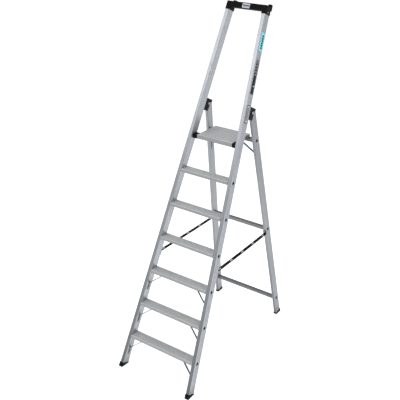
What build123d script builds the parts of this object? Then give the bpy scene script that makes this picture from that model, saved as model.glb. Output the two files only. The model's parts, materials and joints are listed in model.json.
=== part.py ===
"""Platform step ladder: two tapering front stiles with six treads and a folding platform,
a hinged rear frame of two legs and three crossbars, and a moulded top bow.

Millimetres, +Z up, X across, front towards -Y. The origin is on the floor, in the middle of
the footprint. "along" is measured up a frame's slope from the floor, "behind" square to it.
"""

from build123d import *
import os
from math import cos, radians, sin, tan

os.makedirs("parts", exist_ok=True)

# ---- Sizes of the whole ladder ----
step_count = 6
tread_rise = 235.0  # from one tread to the next, and from the top tread to the platform
front_angle = 24.45  # stiles, from the vertical
rear_angle = 10.47  # rear legs, from the vertical
foot_width = 642.0  # over the stiles, at the floor
front_lean = 3.37  # each stile, towards the middle, within its frame
rear_lean = 3.30  # each rear leg, the same
hinge_above_deck = 181.5  # platform surface to the rear legs' hinge pins
rail_above_deck = 880.0  # platform surface to the top of the bow
braced_steps = 3  # the lowest treads have braces

# ---- Profiles ----
stile_width = 28.6
stile_depth = 64.0
stile_wall = 2.2
stile_radius = 3.0
crossbar_radius = 2.5
leg_width = 21.4
leg_depth = 62.0
leg_wall = 2.0
leg_radius = 3.0
groove_depth = 0.5  # decorative ribs of the extrusions
groove_width = 2.2
groove_pitch = 7.5

# ---- Treads ----
tread_nose = 6.6  # tread in front of the stiles
tread_lip = 21.7
tread_skin = 2.6
tread_wall = 2.2
tread_corner = 1.2
tread_groove = 0.9
tread_groove_width = 2.6
tread_groove_pitch = 5.2
end_block_size = (22.0, 24.0, 18.0)
bolt_radius = 4.0
bolt_head_radius = 8.0
bolt_head = 4.0
bolt_length = 20.0
bolt_drop = 14.0  # bolt under the tread's surface
bolt_behind = 29.0  # bolt behind the stile's front face
access_radius = 12.0  # the hole in a stile or leg that reaches a bolt

# ---- Braces ----
brace_width = 16.0
brace_thickness = 3.0
brace_behind = 30.0
brace_reach = 125.0
brace_drop = 102.0
brace_tab = 52.0
brace_end_tab = 26.0
rear_brace_reach = 140.0
rear_brace_drop = 96.0
brace_rivet_places = (10.0, 42.0)  # down the tab from the bend
rivet_radius = 2.4
rivet_head_radius = 4.6
rivet_head = 1.6
rivet_taper = 30.0
rivet_tail = 1.0  # shank past the inner wall
washer_rivet_extra = 1.5  # the straps' rivets have wider heads

# ---- Feet ----
boot_wall = 3.2
boot_height = 17.0
boot_sole = 9.0
boot_plug = 42.0
sole_groove = 1.5

# ---- Rear frame ----
crossbar_height = 28.0
crossbar_depth = 25.0
crossbar_wall = 2.0
crossbar_levels = (158.0, 845.0)  # the lower two, above the floor
crossbar_under_deck = 40.0  # the top one, under the platform's surface
crossbar_bore = 4.3

# ---- Rear hinge ----
hinge_back = 36.0  # pin behind the stiles' rear face
leg_behind_pin = 15.6
leg_over_pin = 13.0
hinge_pin_radius = 5.0
hinge_bush_radius = 7.5
bracket_cheek = 3.0
bracket_side_gap = 2.0  # leg to cheek, because the leg and stile lean differently
bracket_web = 3.5
bracket_below = 55.0
bracket_above = 36.0
bracket_depth = 49.0
bracket_hood_depth = 70.0
bracket_hood = 20.0
pin_head_radius = 8.0
pin_head = 2.0
bracket_corner = 2.5
bracket_bevel = 22.0
bracket_swell = 3.0  # cheeks deeper in their middle
bracket_roof = 4.0
bracket_rivet_places = (-34.0, 22.0)  # up the stile from the pin

# ---- Platform ----
deck_setback = 15.0  # deck behind the stiles' front line
deck_past_bar = 2.0  # its rear edge behind the middle of the top crossbar
deck_lip = 30.0
deck_rear_lip = 13.0
deck_skin = 2.8
deck_wall = 2.5
deck_corner = 1.1
bearing_width = 36.0  # between a stile and the deck
bearing_depth = 48.0
bearing_height = 33.0
deck_pin_radius = 5.0
deck_pin_back = 20.0
deck_pin_drop = 16.0
web_places = (-0.22, 0.12)  # shares of the deck's depth from its middle
web_height = 17.0
web_foot = 12.5
web_end_gap = 2.0
side_thickness = 9.0
side_above_lip = 1.0
hook_depth = 14.0
hook_thickness = 12.0
hook_slope = 12.0
hook_gap = 9.0
bearing_corner = 6.0
bearing_back = 2.0  # block's middle behind the pin
bearing_bolt_radius = 3.0
bearing_bolt_head_radius = 5.0
bearing_bolt_length = 15.0
bearing_bolt_spread = 10.0

# ---- Top bow ----
bow_wall = 3.0
bow_corner = 4.0
bow_web = 4.0
bow_sleeve = 57.0
bow_bar_height = 42.0
bow_bar_depth = 27.0
bow_lug_length = 42.0
bow_lug_depth = 24.0
bow_lug_over = 22.0  # lug above the bar
bow_lug_width = 24.0
bow_screw_up = 14.0
bow_label_size = (60.0, 31.0)

# ---- Straps ----
strap_level = 811.0
strap_width = 28.0
strap_thickness = 2.4
strap_tab = 30.0
strap_rivet_place = 18.0  # from the bend

# ---- Labels: length, centre above the platform, depth ----
label_thickness = 0.3
label_corner = 2.0
label_places = {
    "label_round": (126.0, 645.0, 42.0),
    "label_stripe": (242.0, 427.0, 38.0),
    "label_box": (126.0, 190.0, 46.0),
}

# ---- Clearances ----
seat_gap = 0.1  # between fixed pieces that seat on each other
running_gap = 0.05  # radial, pins in bores
moving_gap = 0.4  # between moving pieces that pass or rest on each other
hole_gap = 0.3
lean_room = 1.0  # round a bolt's head inside a leaning profile

# ---- Frames ----
fs = sin(radians(front_angle))
fc = cos(radians(front_angle))
rs = sin(radians(rear_angle))
rc = cos(radians(rear_angle))
front_up = Vector(0, fs, fc)
front_back = Vector(0, fc, -fs)
rear_up = Vector(0, -rs, rc)
rear_back = Vector(0, rc, rs)
across = Vector(1, 0, 0)
platform_height = tread_rise * (step_count + 1)


def front_along(height, behind):
    """How far up the front slope a point is that lies at this height."""
    return (height + behind * fs) / fc


def rear_along(height, behind):
    return (height - behind * rs) / rc


hinge_height = platform_height + hinge_above_deck
hinge_behind = stile_depth + hinge_back
hinge_along = front_along(hinge_height, hinge_behind)
hinge_reach = hinge_along * fs + hinge_behind * fc  # pin behind the front line
leg_reach = (
    hinge_reach + leg_behind_pin * rc + (hinge_height + leg_behind_pin * rs) * tan(radians(rear_angle))
)
foot_front = boot_wall / fc
foot_rear = (leg_depth / 2 + boot_wall) / rc
front_line = -(leg_reach + foot_rear - foot_front) / 2
rear_line = front_line + leg_reach
bow_top = (platform_height + rail_above_deck) / fc
stile_top = bow_top - bow_wall - seat_gap
leg_hinge_along = rear_along(hinge_height, -leg_behind_pin)
bracket_slot = leg_width + 2 * bracket_side_gap
bracket_width = bracket_slot + 2 * bracket_cheek
deck_front = front_line + platform_height * tan(radians(front_angle)) + deck_setback
top_bar_along = rear_along(platform_height - crossbar_under_deck, 0)
deck_rear = rear_line - top_bar_along * rs + deck_past_bar
deck_depth = deck_rear - deck_front
deck_pin_height = platform_height - deck_pin_drop
deck_pin_y = deck_front + deck_pin_back
bearing_y = deck_pin_y + bearing_back
bearing_behind = (bearing_y - front_line) * fc - deck_pin_height * fs
bearing_along = front_along(deck_pin_height, bearing_behind)
# the bolts' heads fit inside the stile, so a shallow stile moves them forwards
bearing_bolt_room = stile_depth - stile_wall - bearing_bolt_head_radius - lean_room - bearing_behind
bearing_bolt_shift = min(0.0, bearing_bolt_room / fc - bearing_bolt_spread)
bearing_bolt_places = (bearing_bolt_shift - bearing_bolt_spread, bearing_bolt_shift + bearing_bolt_spread)


def front_half(along):
    """Middle plane to the centre of a stile."""
    return (foot_width / 2 - stile_width / 2 / cos(radians(front_lean))) - tan(radians(front_lean)) * along


def rear_half(along):
    """Middle plane to the centre of a leg, which meets its stile at the hinge."""
    return front_half(hinge_along) + tan(radians(rear_lean)) * (leg_hinge_along - along)


def front_point(x, along, behind):
    return across * x + Vector(0, front_line, 0) + front_up * along + front_back * behind


def rear_point(x, along, behind):
    return across * x + Vector(0, rear_line, 0) + rear_up * along + rear_back * behind


def out_direction(side, up, lean):
    """Square to a stile or leg, away from the middle, within its frame."""
    return across * (side * cos(radians(lean))) + up * sin(radians(lean))


def axis_direction(side, up, lean):
    return up * cos(radians(lean)) - across * (side * sin(radians(lean)))


def stile_plane(side, along):
    return Plane(
        origin=front_point(side * front_half(along), along, stile_depth / 2),
        x_dir=out_direction(side, front_up, front_lean),
        z_dir=axis_direction(side, front_up, front_lean),
    )


def leg_plane(side, along):
    return Plane(
        origin=rear_point(side * rear_half(along), along, 0),
        x_dir=out_direction(side, rear_up, rear_lean),
        z_dir=axis_direction(side, rear_up, rear_lean),
    )


def stile_face(side, along, behind, offset):
    """A point on a stile's side; offset is measured outwards from its centre."""
    centre = front_point(side * front_half(along), along, behind)
    return centre + out_direction(side, front_up, front_lean) * offset


def leg_face(side, along, behind, offset):
    centre = rear_point(side * rear_half(along), along, behind)
    return centre + out_direction(side, rear_up, rear_lean) * offset


def save(piece, label):
    piece.part.label = label
    export_step(piece.part, f"parts/{label}.step")


side_names = {-1: "left", 1: "right"}
tread_heights = [tread_rise * number for number in range(1, step_count + 1)]
crossbar_heights = {
    "bottom": crossbar_levels[0],
    "middle": crossbar_levels[1],
    "top": platform_height - crossbar_under_deck,
}
bolt_heights = [height - bolt_drop for height in tread_heights]
tread_bolts = [(front_along(height, bolt_behind), height) for height in bolt_heights]
crossbar_alongs = {name: rear_along(height, 0) for name, height in crossbar_heights.items()}
lean_gap = tan(radians(front_lean)) * bolt_head_radius


# ---- Rivets: each is a plane under its head, facing out, and the depth of its shank ----
def step_brace_points(side, height):
    """Foot and head of a tread's brace."""
    offset = -stile_width / 2 - seat_gap - brace_thickness / 2
    foot_along = front_along(height - tread_skin - brace_drop, brace_behind)
    foot = stile_face(side, foot_along, brace_behind, offset)
    lift = brace_drop - brace_thickness / 2 - seat_gap
    head = foot + Vector(-side * brace_reach, lift * fs / fc, lift)
    return foot, head


def rear_brace_points(side):
    offset = -leg_width / 2 - seat_gap - brace_thickness / 2
    head_along = crossbar_alongs["top"] - crossbar_height / 2 - seat_gap - brace_thickness / 2
    foot = leg_face(side, head_along - rear_brace_drop, 0, offset)
    head = foot + rear_up * rear_brace_drop - across * (side * rear_brace_reach)
    return foot, head


def tab_rivets(side, foot, up, lean, wall):
    """Through a brace's tab into its upright."""
    out = out_direction(side, up, lean)
    down = axis_direction(side, up, lean) * -1
    planes = [
        Plane(origin=foot + down * place - out * (brace_thickness / 2), z_dir=out * -1)
        for place in brace_rivet_places
    ]
    return [(plane, brace_thickness + seat_gap + wall + rivet_tail) for plane in planes]


def tip_rivet(side, head, up, wall):
    """Up through the brace's head into what it carries."""
    under = head - up * (brace_thickness / 2) - across * (side * brace_end_tab / 2)
    return [(Plane(origin=under, z_dir=up * -1), brace_thickness + seat_gap + wall - tread_groove)]


def bracket_rivet(side, place):
    along = hinge_along + place
    centre = front_point(side * front_half(along), along, stile_depth + bracket_web)
    return (Plane(origin=centre, z_dir=front_back), bracket_web + stile_wall + rivet_tail)


def strap_rivet_front(side):
    along = front_along(strap_level, stile_depth) - strap_rivet_place
    depth = 2 * moving_gap + strap_thickness
    centre = front_point(side * front_half(along), along, stile_depth + depth)
    return (Plane(origin=centre, z_dir=front_back), depth + stile_wall + rivet_tail)


def strap_rivet_rear(side):
    along = rear_along(strap_level, -leg_depth / 2) + strap_rivet_place
    depth = 2 * moving_gap + strap_thickness
    centre = rear_point(side * rear_half(along), along, -leg_depth / 2 - depth)
    return (Plane(origin=centre, z_dir=rear_back * -1), depth + leg_wall + rivet_tail)


def bow_screw(side):
    along = bow_top - bow_sleeve + bow_screw_up
    centre = stile_face(side, along, stile_depth / 2, stile_width / 2 + bow_wall)
    out = out_direction(side, front_up, front_lean)
    return (Plane(origin=centre, z_dir=out), bow_wall + stile_wall + rivet_tail)


brace_rivet_plan = {
    side: [
        rivet
        for height in tread_heights[:braced_steps]
        for rivet in tab_rivets(side, step_brace_points(side, height)[0], front_up, front_lean, stile_wall)
        + tip_rivet(side, step_brace_points(side, height)[1], Vector(0, 0, 1), tread_skin)
    ]
    for side in side_names
}
rear_brace_rivet_plan = {
    side: tab_rivets(side, rear_brace_points(side)[0], rear_up, rear_lean, leg_wall)
    + tip_rivet(side, rear_brace_points(side)[1], rear_up, crossbar_wall)
    for side in side_names
}
bracket_rivet_plan = {
    side: [bracket_rivet(side, place) for place in bracket_rivet_places] for side in side_names
}
strap_front_plan = {side: [strap_rivet_front(side)] for side in side_names}
strap_rear_plan = {side: [strap_rivet_rear(side)] for side in side_names}
bow_screw_plan = {side: [bow_screw(side)] for side in side_names}


def make_shanks(rivets, gap):
    """The rivets' shanks; with a gap, the tool that cuts their holes."""
    with BuildPart() as shanks:
        for plane, depth in rivets:
            with BuildSketch(plane.offset(gap)):
                Circle(rivet_radius + gap)
            extrude(amount=-depth - 2 * gap)
    return shanks.part


def make_rivets(plan, head_radius):
    with BuildPart() as rivets:
        for side in side_names:
            add(make_shanks(plan[side], 0))
            for plane, depth in plan[side]:
                with BuildSketch(plane):
                    Circle(head_radius)
                extrude(amount=rivet_head, taper=rivet_taper)
    return rivets


# ---- Extruded profiles, drawn once: local x points away from the middle of the ladder ----
groove_count = int((stile_depth - 2 * groove_pitch) / groove_pitch)
with BuildSketch() as stile_profile:
    RectangleRounded(stile_width, stile_depth, stile_radius)
    Rectangle(stile_width - 2 * stile_wall, stile_depth - 2 * stile_wall, mode=Mode.SUBTRACT)
    with Locations((stile_width / 2, 0)):
        with GridLocations(1, groove_pitch, 1, groove_count):
            Rectangle(2 * groove_depth, groove_width, mode=Mode.SUBTRACT)
    with GridLocations(stile_width / 3, stile_depth, 2, 2):
        Rectangle(groove_width, 2 * groove_depth, mode=Mode.SUBTRACT)

with BuildSketch() as leg_profile:
    RectangleRounded(leg_width, leg_depth, leg_radius)
    Rectangle(leg_width - 2 * leg_wall, leg_depth - 2 * leg_wall, mode=Mode.SUBTRACT)
    with Locations((leg_width / 2, 0)):
        with GridLocations(1, 2 * groove_pitch, 1, 3):
            Rectangle(2 * groove_depth, groove_width, mode=Mode.SUBTRACT)

with BuildSketch() as crossbar_profile:
    RectangleRounded(crossbar_depth, crossbar_height, crossbar_radius)
    Rectangle(crossbar_depth - 2 * crossbar_wall, crossbar_height - 2 * crossbar_wall, mode=Mode.SUBTRACT)
    Circle(crossbar_bore + crossbar_wall)
    Rectangle(crossbar_depth - crossbar_wall, crossbar_wall)
    Circle(crossbar_bore, mode=Mode.SUBTRACT)
    with GridLocations(crossbar_depth, crossbar_height / 3, 2, 2):
        Rectangle(2 * groove_depth, groove_width, mode=Mode.SUBTRACT)

# ---- Stiles ----
for side, name in side_names.items():
    with BuildPart() as stile:
        with BuildSketch(stile_plane(side, -stile_depth)):
            add(stile_profile.sketch)
        extrude(amount=(stile_top + stile_depth) / cos(radians(front_lean)))
        split(bisect_by=Plane.XY.offset(boot_sole), keep=Keep.TOP)
        for along, height in tread_bolts:
            middle = front_point(side * front_half(along), along, bolt_behind)
            hole = Plane(origin=middle, z_dir=across * side)
            with BuildSketch(hole):
                Circle(access_radius)
            extrude(amount=stile_width, mode=Mode.SUBTRACT)
            with BuildSketch(hole):
                Circle(bolt_radius + hole_gap)
            extrude(amount=-stile_width, mode=Mode.SUBTRACT)
        for place in bearing_bolt_places:
            start = Vector(side * front_half(bearing_along), bearing_y + place, deck_pin_height)
            with BuildSketch(Plane(origin=start, z_dir=across * -side)):
                Circle(bearing_bolt_radius + hole_gap)
            extrude(amount=stile_width, mode=Mode.SUBTRACT)
        for plan in (brace_rivet_plan, bracket_rivet_plan, strap_front_plan, bow_screw_plan):
            add(make_shanks(plan[side], hole_gap), mode=Mode.SUBTRACT)
    save(stile, f"stile_{name}")

# ---- Treads: a ribbed channel between the stiles, cut to their lean ----
tread_back = stile_depth / fc
tread_depth = tread_nose + tread_back
tread_grooves = int((tread_depth - 2 * tread_groove_pitch) / tread_groove_pitch)


def inner_face(side, offset):
    """The plane of a stile's inner face, moved towards the middle by the offset."""
    return Plane(
        origin=stile_face(side, 0, 0, -stile_width / 2 - offset),
        z_dir=out_direction(side, front_up, front_lean),
    )


def leg_inner_face(side, offset):
    return Plane(
        origin=leg_face(side, 0, 0, -leg_width / 2 - offset),
        z_dir=out_direction(side, rear_up, rear_lean),
    )


def tread_front(height):
    return front_line + height * tan(radians(front_angle)) - tread_nose


for number, height in enumerate(tread_heights, start=1):
    middle = tread_front(height) + tread_depth / 2
    with BuildPart() as step:
        with BuildSketch(Plane.YZ.offset(-foot_width / 2)):
            with Locations((middle, height - tread_lip / 2)):
                RectangleRounded(tread_depth, tread_lip, tread_corner)
            with Locations((middle, height - tread_skin - tread_lip / 2)):
                Rectangle(tread_depth - 2 * tread_wall, tread_lip, mode=Mode.SUBTRACT)
            with Locations((middle, height)):
                with GridLocations(tread_groove_pitch, 1, tread_grooves, 1):
                    Rectangle(tread_groove_width, 2 * tread_groove, mode=Mode.SUBTRACT)
        extrude(amount=foot_width)
        for side in side_names:
            split(bisect_by=inner_face(side, seat_gap), keep=Keep.BOTTOM)
            if number <= braced_steps:
                add(make_shanks(brace_rivet_plan[side], hole_gap), mode=Mode.SUBTRACT)
    save(step, f"step_{number}")

# ---- Blocks in the tread ends, and the bolts that reach them through the stiles ----
block_x, block_y, block_z = end_block_size
with BuildPart() as step_end_blocks:
    for side in side_names:
        for along, height in tread_bolts:
            face = front_point(side * (front_half(along) - stile_width / 2), along, bolt_behind)
            block_top = height + bolt_drop - tread_skin
            with BuildSketch(Plane(origin=(face.X, face.Y, block_top - block_z / 2), z_dir=across * -side)):
                Rectangle(block_z, block_y)
            extrude(amount=block_x)
            with BuildSketch(Plane(origin=face, z_dir=across * -side)):
                Circle(bolt_radius + running_gap)
            extrude(amount=block_x, both=True, mode=Mode.SUBTRACT)
        split(bisect_by=inner_face(side, seat_gap), keep=Keep.BOTTOM)
save(step_end_blocks, "step_end_blocks")

with BuildPart() as step_bolts:
    for side in side_names:
        for along, height in tread_bolts:
            inner = front_half(along) - stile_width / 2 + stile_wall + 2 * lean_gap
            seat = front_point(side * inner, along, bolt_behind)
            with BuildSketch(Plane(origin=seat, z_dir=across * side)):
                Circle(bolt_head_radius)
            extrude(amount=bolt_head)
            with BuildSketch(Plane(origin=seat, z_dir=across * -side)):
                Circle(bolt_radius)
            extrude(amount=bolt_length)
save(step_bolts, "step_bolts")

# ---- Braces: a strip with a tab on the upright and a tab under the tread or crossbar ----
for side, name in side_names.items():
    with BuildPart() as step_braces:
        for height in tread_heights[:braced_steps]:
            foot, head = step_brace_points(side, height)
            tab_end = foot - axis_direction(side, front_up, front_lean) * brace_tab
            run_end = head - Vector(0, 0, brace_width / 2 * fs)
            for start, end in ((tab_end, foot), (foot, run_end)):
                with BuildSketch(Plane(origin=start, x_dir=front_back, z_dir=end - start)):
                    Rectangle(brace_width, brace_thickness)
                extrude(amount=(end - start).length)
            with BuildSketch(Plane(origin=head + across * side * brace_thickness, z_dir=across * -side)):
                Rectangle(brace_thickness, brace_width)
            extrude(amount=brace_end_tab)
            rod = Plane(origin=foot - front_back * brace_width / 2, z_dir=front_back)
            with BuildSketch(rod):
                Circle(brace_thickness / 2)
            extrude(amount=brace_width)
        add(make_shanks(brace_rivet_plan[side], hole_gap), mode=Mode.SUBTRACT)
    save(step_braces, f"step_braces_{name}")

save(make_rivets(brace_rivet_plan, rivet_head_radius), "brace_rivets")


# ---- Feet: a boot round the end of a stile or leg, with a plug up its inside ----
def make_foot(plane, width, depth, wall, length):
    """A boot whose sole is flat on the floor; the plane lies square to the upright, below the floor."""
    with BuildPart() as envelope:
        with BuildSketch(plane):
            Rectangle(width + 2 * seat_gap, depth + 2 * seat_gap)
        extrude(amount=length)
        split(bisect_by=Plane.XY.offset(boot_sole), keep=Keep.TOP)
    with BuildPart() as plug:
        with BuildSketch(plane):
            Rectangle(width - 2 * wall - 2 * seat_gap, depth - 2 * wall - 2 * seat_gap)
        extrude(amount=length - boot_height + boot_plug)
        split(bisect_by=Plane.XY.offset(boot_sole / 2), keep=Keep.TOP)
    with BuildPart() as foot:
        with BuildSketch(plane):
            RectangleRounded(width + 2 * boot_wall, depth + 2 * boot_wall, leg_radius)
        extrude(amount=length)
        split(bisect_by=Plane.XY, keep=Keep.TOP)
        add(envelope.part, mode=Mode.SUBTRACT)
        add(plug.part)
        middle = foot.part.bounding_box().center()
        with BuildSketch(Plane.XY):
            with Locations((plane.origin.X, middle.Y)):
                with GridLocations(1, depth / 4, 1, 3):
                    Rectangle(2 * width, sole_groove)
        extrude(amount=sole_groove, mode=Mode.SUBTRACT)
    return foot


for side, name in side_names.items():
    start = front_along(0, 0) - stile_depth
    length = (stile_depth + boot_height / fc + stile_depth / 2 * fs / fc) / cos(radians(front_lean))
    foot = make_foot(stile_plane(side, start), stile_width, stile_depth, stile_wall, length)
    save(foot, f"front_foot_{name}")
    length = (leg_depth + boot_height / rc) / cos(radians(rear_lean))
    foot = make_foot(leg_plane(side, -leg_depth), leg_width, leg_depth, leg_wall, length)
    save(foot, f"rear_foot_{name}")

# ---- Rear legs ----
leg_top = hinge_height + leg_over_pin
for side, name in side_names.items():
    with BuildPart() as leg:
        with BuildSketch(leg_plane(side, -leg_depth)):
            add(leg_profile.sketch)
        extrude(amount=(leg_hinge_along + 2 * leg_depth) / cos(radians(rear_lean)))
        split(bisect_by=Plane.XY.offset(boot_sole), keep=Keep.TOP)
        split(bisect_by=Plane.XY.offset(leg_top), keep=Keep.BOTTOM)
        for along in crossbar_alongs.values():
            hole = Plane(origin=rear_point(side * rear_half(along), along, 0), z_dir=across * side)
            with BuildSketch(hole):
                Circle(access_radius)
            extrude(amount=leg_width, mode=Mode.SUBTRACT)
            with BuildSketch(hole):
                Circle(bolt_radius + hole_gap)
            extrude(amount=-leg_width, mode=Mode.SUBTRACT)
        pin = front_point(side * front_half(hinge_along), hinge_along, hinge_behind)
        with BuildSketch(Plane(origin=pin, z_dir=across * side)):
            Circle(hinge_bush_radius + seat_gap)
        extrude(amount=leg_width, both=True, mode=Mode.SUBTRACT)
        for plan in (rear_brace_rivet_plan, strap_rear_plan):
            add(make_shanks(plan[side], hole_gap), mode=Mode.SUBTRACT)
    save(leg, f"rear_leg_{name}")

# ---- Crossbars and their bolts ----
for name, along in crossbar_alongs.items():
    half = rear_half(along)
    with BuildPart() as crossbar:
        start = Plane(origin=rear_point(-half, along, 0), x_dir=rear_back, z_dir=across)
        with BuildSketch(start):
            add(crossbar_profile.sketch)
        extrude(amount=2 * half)
        for side in side_names:
            split(bisect_by=leg_inner_face(side, seat_gap), keep=Keep.BOTTOM)
            if name == "top":
                add(make_shanks(rear_brace_rivet_plan[side], hole_gap), mode=Mode.SUBTRACT)
    save(crossbar, f"crossbar_{name}")

with BuildPart() as crossbar_bolts:
    for side in side_names:
        for along in crossbar_alongs.values():
            inner = rear_half(along) - leg_width / 2 + leg_wall + 2 * lean_gap
            seat = rear_point(side * inner, along, 0)
            with BuildSketch(Plane(origin=seat, z_dir=across * side)):
                Circle(bolt_head_radius)
            extrude(amount=bolt_head)
            with BuildSketch(Plane(origin=seat, z_dir=across * -side)):
                Circle(bolt_radius)
            extrude(amount=bolt_length)
save(crossbar_bolts, "crossbar_bolts")


# ---- Rear braces: top crossbar to leg ----
for side, name in side_names.items():
    foot, head = rear_brace_points(side)
    tab_end = foot - axis_direction(side, rear_up, rear_lean) * brace_tab
    tip = head - across * (side * brace_end_tab)
    with BuildPart() as rear_brace:
        for start, end in ((tab_end, foot), (foot, head), (head, tip)):
            with BuildSketch(Plane(origin=start, x_dir=rear_back, z_dir=end - start)):
                Rectangle(brace_width, brace_thickness)
            extrude(amount=(end - start).length)
        for corner in (foot, head):
            with BuildSketch(Plane(origin=corner - rear_back * brace_width / 2, z_dir=rear_back)):
                Circle(brace_thickness / 2)
            extrude(amount=brace_width)
        add(make_shanks(rear_brace_rivet_plan[side], hole_gap), mode=Mode.SUBTRACT)
    save(rear_brace, f"rear_brace_{name}")

save(make_rivets(rear_brace_rivet_plan, rivet_head_radius), "rear_brace_rivets")


# ---- Rear hinge: bracket on the stile, pin, and a bush through the leg ----
def bracket_normal(side):
    return axis_direction(side, front_up, front_lean).cross(front_back)


def hinge_plane(side):
    """Square to the hinge pin, in the middle of the stile; local x runs up the stile, local y behind it."""
    centre = front_point(side * front_half(hinge_along), hinge_along, stile_depth)
    normal = front_up.cross(front_back)
    return Plane(origin=centre, x_dir=front_up, z_dir=normal)


for side, name in side_names.items():
    centre = hinge_plane(side)
    leaning = Plane(
        origin=centre.origin, x_dir=axis_direction(side, front_up, front_lean), z_dir=bracket_normal(side)
    )
    with BuildPart() as bracket:
        with BuildSketch(leaning):
            with BuildLine():
                Polyline(
                    (-bracket_below, 0),
                    (-bracket_below, bracket_depth - bracket_swell),
                    (-bracket_below + bracket_bevel, bracket_depth + bracket_swell),
                    (bracket_above - bracket_hood - bracket_swell, bracket_depth + bracket_swell),
                    (bracket_above - bracket_hood, bracket_hood_depth),
                    (bracket_above - bracket_swell, bracket_hood_depth),
                    (bracket_above, 0),
                    close=True,
                )
            make_face()
            fillet(vertices().filter_by(lambda corner: corner.Y > bracket_web), bracket_corner)
        extrude(amount=bracket_width / 2, both=True)
        with BuildSketch(leaning):
            with Locations((bracket_above - bracket_roof - bracket_below, bracket_web + bracket_hood_depth)):
                Rectangle(2 * bracket_below, 2 * bracket_hood_depth)
        extrude(amount=bracket_slot / 2, both=True, mode=Mode.SUBTRACT)
        with BuildSketch(centre):
            with Locations((0, hinge_back)):
                Circle(hinge_pin_radius + seat_gap)
        extrude(amount=bracket_width, both=True, mode=Mode.SUBTRACT)
        add(make_shanks(bracket_rivet_plan[side], hole_gap), mode=Mode.SUBTRACT)
    save(bracket, f"hinge_bracket_{name}")
    with BuildPart() as pin:
        with BuildSketch(centre):
            with Locations((0, hinge_back)):
                Circle(hinge_pin_radius)
        head_lift = tan(radians(front_lean)) * pin_head_radius
        head_seat = bracket_width / 2 / cos(radians(front_lean)) + head_lift
        extrude(amount=head_seat + seat_gap, both=True)
        for end in (-1, 1):
            with BuildSketch(centre.offset(end * (head_seat + seat_gap))):
                with Locations((0, hinge_back)):
                    Circle(pin_head_radius)
            extrude(amount=end * pin_head)
    save(pin, f"hinge_pin_{name}")
    with BuildPart() as bush:
        with BuildSketch(centre):
            with Locations((0, hinge_back)):
                Circle(hinge_bush_radius)
                Circle(hinge_pin_radius + running_gap, mode=Mode.SUBTRACT)
        extrude(amount=leg_width / 2, both=True)
    save(bush, f"hinge_bush_{name}")

save(make_rivets(bracket_rivet_plan, rivet_head_radius), "bracket_rivets")

# ---- Platform ----
deck_along = front_along(platform_height, stile_depth / 2)
deck_half = front_half(deck_along) - stile_width / 2 - bearing_width
deck_grooves = int((deck_depth - 2 * tread_groove_pitch) / tread_groove_pitch)
deck_middle = (deck_front + deck_rear) / 2
deck_pin_end = deck_half + 0.6 * bearing_width

with BuildPart() as deck:
    with BuildSketch(Plane.YZ.offset(-deck_half)):
        with Locations((deck_middle, platform_height - deck_skin / 2)):
            Rectangle(deck_depth, deck_skin)
        with Locations((deck_front + deck_wall / 2, platform_height - deck_lip / 2)):
            RectangleRounded(deck_wall, deck_lip, deck_corner)
        with Locations((deck_rear - deck_wall / 2, platform_height - deck_rear_lip / 2)):
            RectangleRounded(deck_wall, deck_rear_lip, deck_corner)
        with Locations((deck_middle, platform_height)):
            with GridLocations(tread_groove_pitch, 1, deck_grooves, 1):
                Rectangle(tread_groove_width, 2 * tread_groove, mode=Mode.SUBTRACT)
    extrude(amount=2 * deck_half)
    web_half = deck_half - side_thickness - web_end_gap
    web_bottom = platform_height - web_height
    with BuildSketch(Plane.YZ.offset(-web_half)):
        for share in web_places:
            web_middle = deck_middle + share * deck_depth
            with Locations((web_middle, (platform_height - deck_skin / 2 + web_bottom) / 2)):
                Rectangle(deck_wall, web_height - deck_skin / 2)
            with Locations((web_middle, web_bottom)):
                Rectangle(web_foot, deck_wall)
    extrude(amount=2 * web_half)
save(deck, "platform_deck")

# the top crossbar's upper face, which the deck's sides rest on
rest_face = Plane(
    origin=rear_point(0, crossbar_alongs["top"] + crossbar_height / 2 + moving_gap, 0),
    x_dir=across,
    z_dir=rear_up,
)
with BuildPart() as rest_cut:
    with BuildSketch(rest_face):
        with Locations((0, deck_depth / 2 - crossbar_depth / 2 - hook_gap)):
            Rectangle(foot_width, deck_depth)
    extrude(amount=-deck_depth)
bar_front = rear_point(0, crossbar_alongs["top"] + crossbar_height / 2, -crossbar_depth / 2)
hook_rear = bar_front.Y - hook_gap
side_top = platform_height - deck_skin - seat_gap
side_bottom = platform_height - deck_lip + side_above_lip
hook_bottom = bar_front.Z - hook_depth
side_front = deck_front + deck_wall + seat_gap
side_rear = deck_rear - deck_wall - seat_gap

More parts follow.
